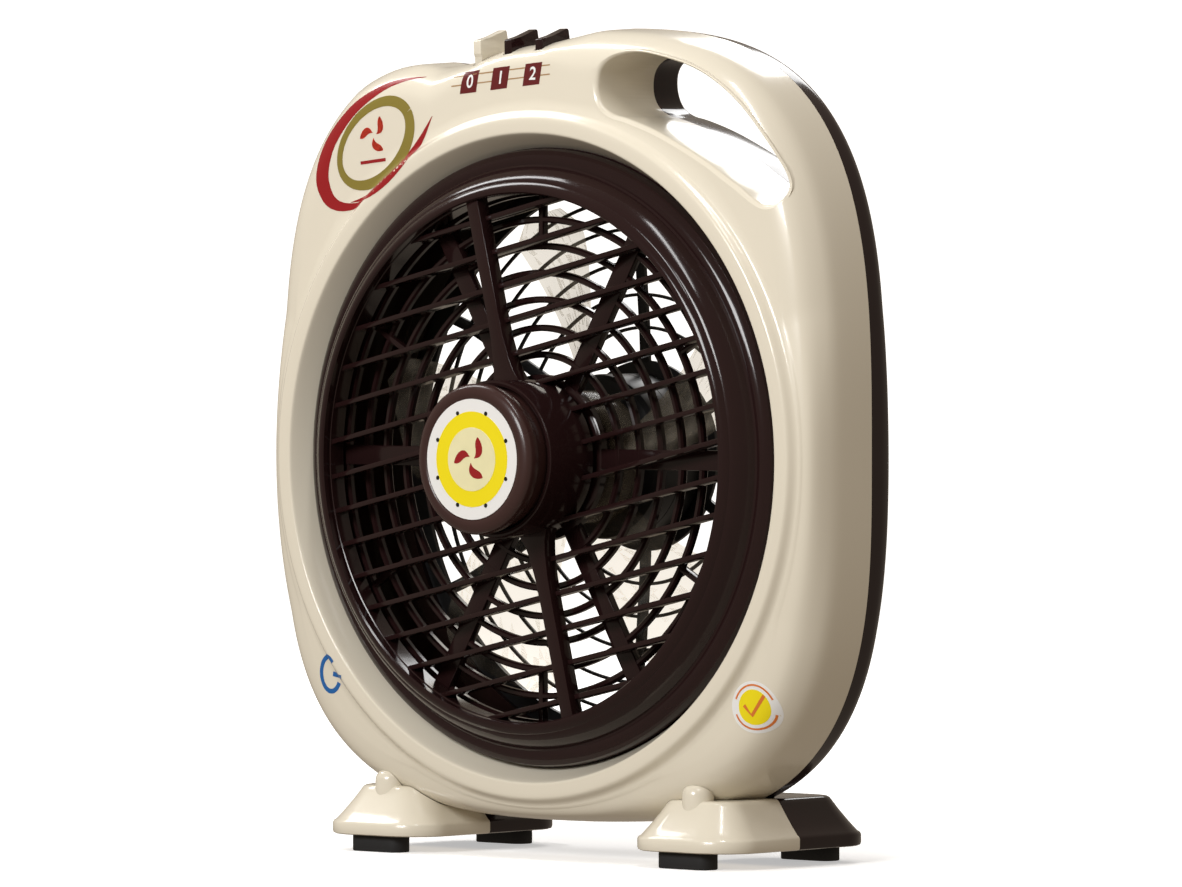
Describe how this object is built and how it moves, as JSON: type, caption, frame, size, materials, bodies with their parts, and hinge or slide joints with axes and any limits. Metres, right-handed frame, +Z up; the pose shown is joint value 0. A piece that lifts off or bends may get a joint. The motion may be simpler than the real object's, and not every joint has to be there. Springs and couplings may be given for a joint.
{
  "type": "box fan",
  "caption": "Upright box fan: rounded two-part housing with a carry slot, turning louvre wheel with a push knob, clear impeller, rear motor, piano keys on top and four padded feet",
  "frame": {"origin": "bottom centre of the whole fan, on the plane of the pads' undersides", "axes": "+Z up, -Y to the front where the air comes out, +X to the right of someone facing the fan"},
  "size_m": [0.442, 0.1804, 0.4992],
  "materials": {
    "cream_gloss": "glossy cream moulding",
    "brown_gloss": "glossy dark brown moulding",
    "knob_brown": "satin-gloss brown",
    "black_plastic": "satin black",
    "smoke_clear": "clear smoke tint",
    "rubber_black": "matte",
    "steel": "bright zinc",
    "copper": "enamelled copper wire",
    "badge_yellow": "printed sticker"
  },
  "bodies": {
    "housing": {"bearing_front": "steel", "bearing_rear": "steel", "capacitor": "black_plastic", "cord_inlet": "black_plastic", "foot_front_left": "cream_gloss", "foot_front_right": "cream_gloss", "foot_rear_left": "brown_gloss", "foot_rear_right": "brown_gloss", "front_guard": "brown_gloss", "front_housing": "cream_gloss", "grille_screw_1": "steel", "grille_screw_2": "steel", "grille_screw_3": "steel", "grille_screw_4": "steel", "housing_screw_1": "steel", "housing_screw_2": "steel", "housing_screw_3": "steel", "housing_screw_4": "steel", "louvre_axle": "steel", "louvre_nut": "steel", "louvre_washer": "steel", "motor_front_shield": "black_plastic", "motor_rear_shield": "black_plastic", "motor_screw_1": "steel", "motor_screw_2": "steel", "motor_screw_3": "steel", "pad_front_left": "rubber_black", "pad_front_right": "rubber_black", "pad_rear_left": "rubber_black", "pad_rear_right": "rubber_black", "rear_grille": "black_plastic", "rear_housing": "brown_gloss", "stator_core": "steel", "switch_body": "black_plastic", "terminal_block": "cream_gloss", "winding_front": "copper", "winding_rear": "copper"},
    "louvre": {"louvre_wheel": "brown_gloss"},
    "knob": {"louvre_knob": "knob_brown", "knob_badge": "badge_yellow"},
    "spinner": {"impeller": "smoke_clear", "blade_nut": "black_plastic", "motor_shaft": "steel", "rotor": "steel"},
    "key_0_body": {"key_0": "cream_gloss"},
    "key_1_body": {"key_1": "brown_gloss"},
    "key_2_body": {"key_2": "brown_gloss"}
  },
  "joints": [
    {"name": "impeller_spin", "type": "hinge", "parent": "housing", "child": "spinner", "pos_m": [0, 0, 0.241], "axis": [0, 1, 0], "continuous": true},
    {"name": "louvre_spin", "type": "hinge", "parent": "housing", "child": "louvre", "pos_m": [0, 0, 0.241], "axis": [0, 1, 0], "continuous": true},
    {"name": "knob_push", "type": "slide", "parent": "louvre", "child": "knob", "axis": [0, 1, 0], "range_m": [0, 0.006], "stiffness_N_per_m": 200, "springref_m": -0.003},
    {"name": "key_0_press", "type": "slide", "parent": "housing", "child": "key_0_body", "axis": [0, 0, -1], "range_m": [0, 0.004], "stiffness_N_per_m": 300, "springref_m": -0.003},
    {"name": "key_1_press", "type": "slide", "parent": "housing", "child": "key_1_body", "axis": [0, 0, -1], "range_m": [0, 0.004], "stiffness_N_per_m": 300, "springref_m": -0.003},
    {"name": "key_2_press", "type": "slide", "parent": "housing", "child": "key_2_body", "axis": [0, 0, -1], "range_m": [0, 0.004], "stiffness_N_per_m": 300, "springref_m": -0.003}
  ]
}
